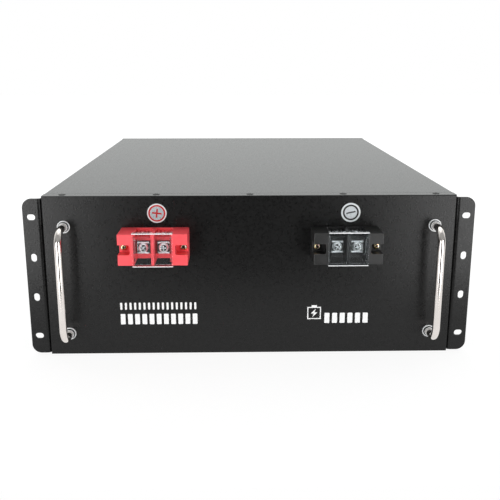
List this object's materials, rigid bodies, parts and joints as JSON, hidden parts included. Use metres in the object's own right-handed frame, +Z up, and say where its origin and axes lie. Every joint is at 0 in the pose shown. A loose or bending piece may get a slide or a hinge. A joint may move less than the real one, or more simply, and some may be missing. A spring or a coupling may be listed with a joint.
{
  "type": "rack battery pack",
  "caption": "Rack-mount steel battery case with slotted ears, chrome bow handles, covered red and black terminal blocks, and prismatic cells with a management board inside.",
  "frame": {"origin": "centre of the case's bottom face", "axes": "+X to the right of someone facing the front panel, +Y towards the back, +Z up"},
  "size_m": [0.4826, 0.6357, 0.1783],
  "materials": {
    "case_paint": "fine-texture powder coat, satin",
    "black_screw": "black oxide",
    "chrome": "polished",
    "zinc_steel": "bright zinc",
    "yellow_zinc": "yellow zinc plate",
    "nickel": "nickel plate",
    "copper": "bare copper",
    "red_plastic": "moulded, semi-gloss",
    "black_plastic": "moulded, semi-gloss",
    "clear_plastic": "clear moulded polycarbonate",
    "label_film": "printed polyester film",
    "cell_can": "aluminium can in blue film",
    "insulation": "glass-fibre laminate",
    "circuit_board": "solder mask",
    "heat_sink": "extruded",
    "connector": "moulded nylon",
    "red_cable": "silicone sleeve",
    "black_cable": "silicone sleeve"
  },
  "bodies": {
    "pack": {"chassis_tray": "case_paint", "front_panel": "case_paint", "rear_panel": "case_paint", "top_cover": "case_paint", "case_screws": "black_screw", "base_screws": "black_screw", "ear_screws": "black_screw", "rack_ear_left": "case_paint", "rack_ear_right": "case_paint", "handle_left": "chrome", "handle_right": "chrome", "handle_ferrules": "chrome", "handle_bolts": "zinc_steel", "block_screws": "yellow_zinc", "block_nuts": "yellow_zinc", "output_nuts": "nickel", "polarity_label_plus": "label_film", "polarity_label_minus": "label_film", "cells_left": "cell_can", "cells_right": "cell_can", "cell_terminals": "nickel", "series_links": "copper", "m6_nuts": "zinc_steel", "cell_spacers": "insulation", "end_plate_front": "zinc_steel", "end_plate_rear": "zinc_steel", "tie_rods": "zinc_steel", "base_sheet": "insulation", "centre_sheet": "insulation", "top_sheet": "insulation", "bms_standoffs": "nickel", "bms_heat_sink": "heat_sink", "bms_mosfets": "black_plastic", "bms_board": "circuit_board", "bms_connectors": "connector", "bms_posts": "copper", "fuse_holder": "black_plastic", "fuse_link": "nickel", "cable_lugs": "nickel", "positive_cables": "red_cable", "negative_cables": "black_cable", "sense_harness": "black_cable", "terminal_block_positive": "red_plastic", "pole_seats_positive": "red_plastic", "pole_studs_positive": "nickel", "output_busbar_positive": "copper", "terminal_block_negative": "black_plastic", "pole_seats_negative": "black_plastic", "pole_studs_negative": "nickel", "output_busbar_negative": "copper"},
    "cover_positive": {"terminal_cover_positive": "clear_plastic"},
    "clamp_positive_left": {"clamp_washer_positive_left": "nickel"},
    "screw_positive_left": {"pole_screw_positive_left": "nickel"},
    "clamp_positive_right": {"clamp_washer_positive_right": "nickel"},
    "screw_positive_right": {"pole_screw_positive_right": "nickel"},
    "cover_negative": {"terminal_cover_negative": "clear_plastic"},
    "clamp_negative_left": {"clamp_washer_negative_left": "nickel"},
    "screw_negative_left": {"pole_screw_negative_left": "nickel"},
    "clamp_negative_right": {"clamp_washer_negative_right": "nickel"},
    "screw_negative_right": {"pole_screw_negative_right": "nickel"}
  },
  "joints": [
    {"name": "cover_positive_off", "type": "slide", "parent": "pack", "child": "cover_positive", "axis": [0, -1, 0], "range_m": [0, 0.03]},
    {"name": "clamp_positive_left_travel", "type": "slide", "parent": "pack", "child": "clamp_positive_left", "axis": [0, -1, 0], "range_m": [0, 0.006]},
    {"name": "screw_positive_left_turn", "type": "hinge", "parent": "clamp_positive_left", "child": "screw_positive_left", "pos_m": [-0.1115, -0.3205, 0.1266], "axis": [0, -1, 0], "range_deg": [0, 2700]},
    {"name": "clamp_positive_right_travel", "type": "slide", "parent": "pack", "child": "clamp_positive_right", "axis": [0, -1, 0], "range_m": [0, 0.006]},
    {"name": "screw_positive_right_turn", "type": "hinge", "parent": "clamp_positive_right", "child": "screw_positive_right", "pos_m": [-0.0905, -0.3205, 0.1266], "axis": [0, -1, 0], "range_deg": [0, 2700]},
    {"name": "cover_negative_off", "type": "slide", "parent": "pack", "child": "cover_negative", "axis": [0, -1, 0], "range_m": [0, 0.03]},
    {"name": "clamp_negative_left_travel", "type": "slide", "parent": "pack", "child": "clamp_negative_left", "axis": [0, -1, 0], "range_m": [0, 0.006]},
    {"name": "screw_negative_left_turn", "type": "hinge", "parent": "clamp_negative_left", "child": "screw_negative_left", "pos_m": [0.0905, -0.3205, 0.1266], "axis": [0, -1, 0], "range_deg": [0, 2700]},
    {"name": "clamp_negative_right_travel", "type": "slide", "parent": "pack", "child": "clamp_negative_right", "axis": [0, -1, 0], "range_m": [0, 0.006]},
    {"name": "screw_negative_right_turn", "type": "hinge", "parent": "clamp_negative_right", "child": "screw_negative_right", "pos_m": [0.1115, -0.3205, 0.1266], "axis": [0, -1, 0], "range_deg": [0, 2700]}
  ],
  "couplings": [
    {"joint": "screw_positive_left_turn", "follows": "clamp_positive_left_travel", "rad_per_m": 7854},
    {"joint": "screw_positive_right_turn", "follows": "clamp_positive_right_travel", "rad_per_m": 7854},
    {"joint": "screw_negative_left_turn", "follows": "clamp_negative_left_travel", "rad_per_m": 7854},
    {"joint": "screw_negative_right_turn", "follows": "clamp_negative_right_travel", "rad_per_m": 7854}
  ]
}
